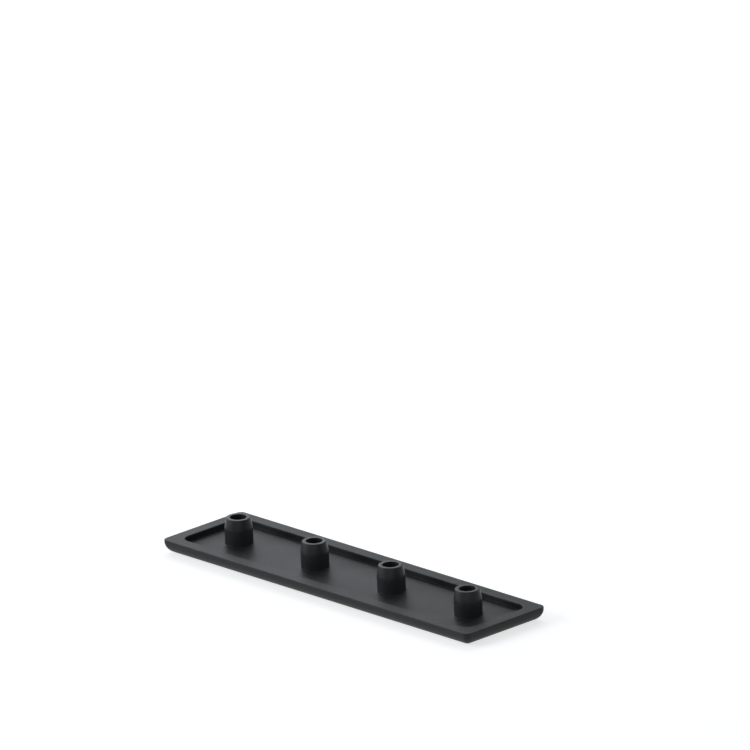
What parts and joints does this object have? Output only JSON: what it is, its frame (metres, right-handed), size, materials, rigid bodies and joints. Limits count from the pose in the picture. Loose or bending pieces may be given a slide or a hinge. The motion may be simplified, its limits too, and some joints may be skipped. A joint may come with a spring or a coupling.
{
  "type": "profile end cap",
  "caption": "Moulded rectangular end cap with rounded outer edges, a shallow recess inside a flat rim, and a row of hollow tapered pegs that press into a slotted profile's core bores.",
  "frame": {"origin": "centre of the flat outer face, on which the cap lies before it is fitted", "axes": "+X along the row of pegs, +Y across the cap, +Z out of the outer face through the pegs"},
  "size_m": [0.08, 0.02, 0.0065],
  "materials": {
    "cap_plastic": "matt black moulded plastic with a fine spark-eroded grain"
  },
  "bodies": {
    "root": {"end_cap": "cap_plastic"}
  },
  "joints": []
}
